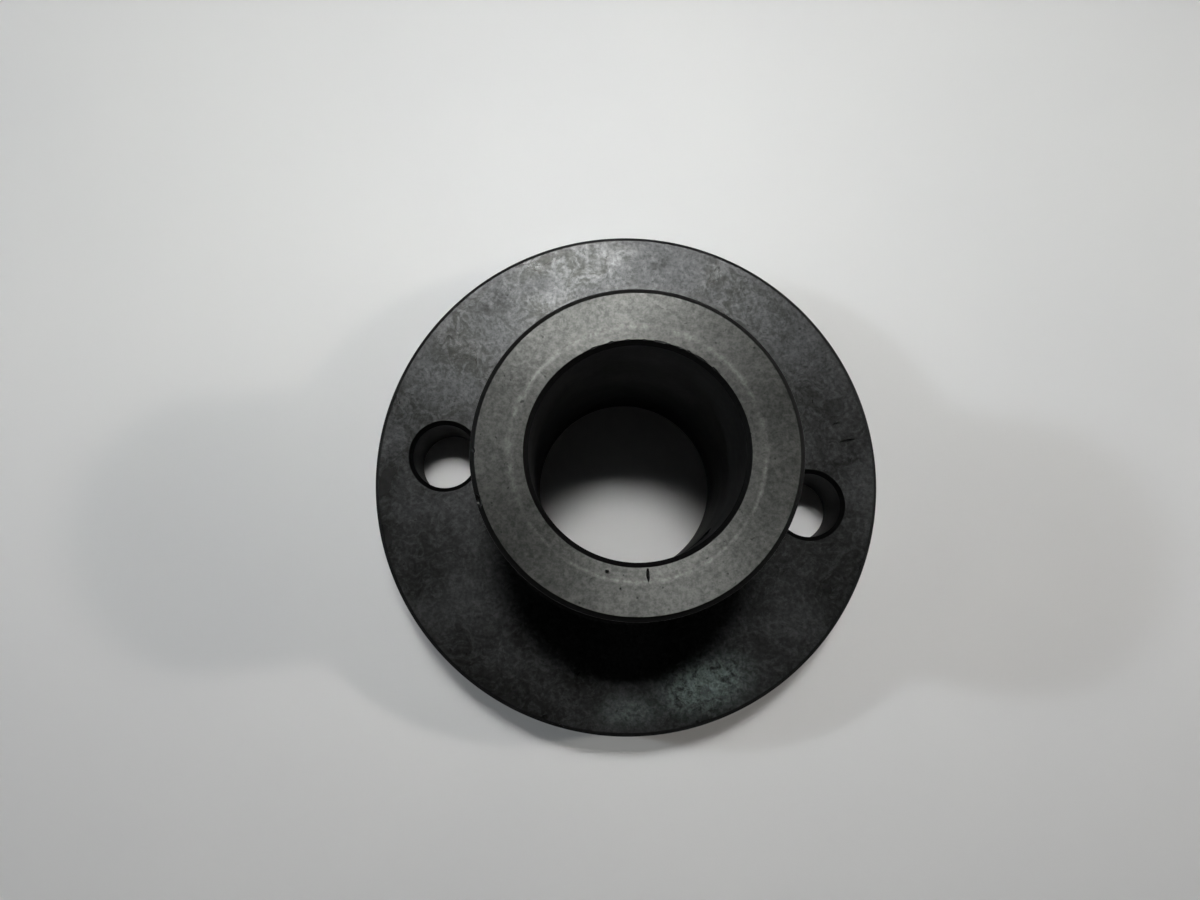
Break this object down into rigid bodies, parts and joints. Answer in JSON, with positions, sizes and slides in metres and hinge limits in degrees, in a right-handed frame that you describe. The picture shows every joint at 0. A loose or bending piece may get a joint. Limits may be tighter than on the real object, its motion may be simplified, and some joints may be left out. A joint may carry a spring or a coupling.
{
  "type": "shaft collar",
  "caption": "Flanged shaft collar in black oxide steel: a round flange with bolt holes, a plain hub with a through bore, and socket set screws that grip the shaft.",
  "frame": {"origin": "centre of the bore on the flange's underside, which is the back face", "axes": "+Z along the bore axis, from the flange's underside towards the end of the hub; +X through the flange holes; the set screws are on the -Y side of the hub"},
  "size_m": [0.071, 0.071, 0.0445],
  "materials": {
    "collar_steel": "turned steel with a worn black oxide finish",
    "screw_steel": "black oxide alloy steel"
  },
  "bodies": {
    "collar": {"collar_body": "collar_steel"},
    "screw_a": {"set_screw_a": "screw_steel"},
    "screw_b": {"set_screw_b": "screw_steel"}
  },
  "joints": [
    {"name": "screw_a_travel", "type": "slide", "parent": "collar", "child": "screw_a", "axis": [0.7071, -0.7071, 0], "range_m": [0, 0.00423]},
    {"name": "screw_b_travel", "type": "slide", "parent": "collar", "child": "screw_b", "axis": [-0.7071, -0.7071, 0], "range_m": [0, 0.00423]}
  ]
}
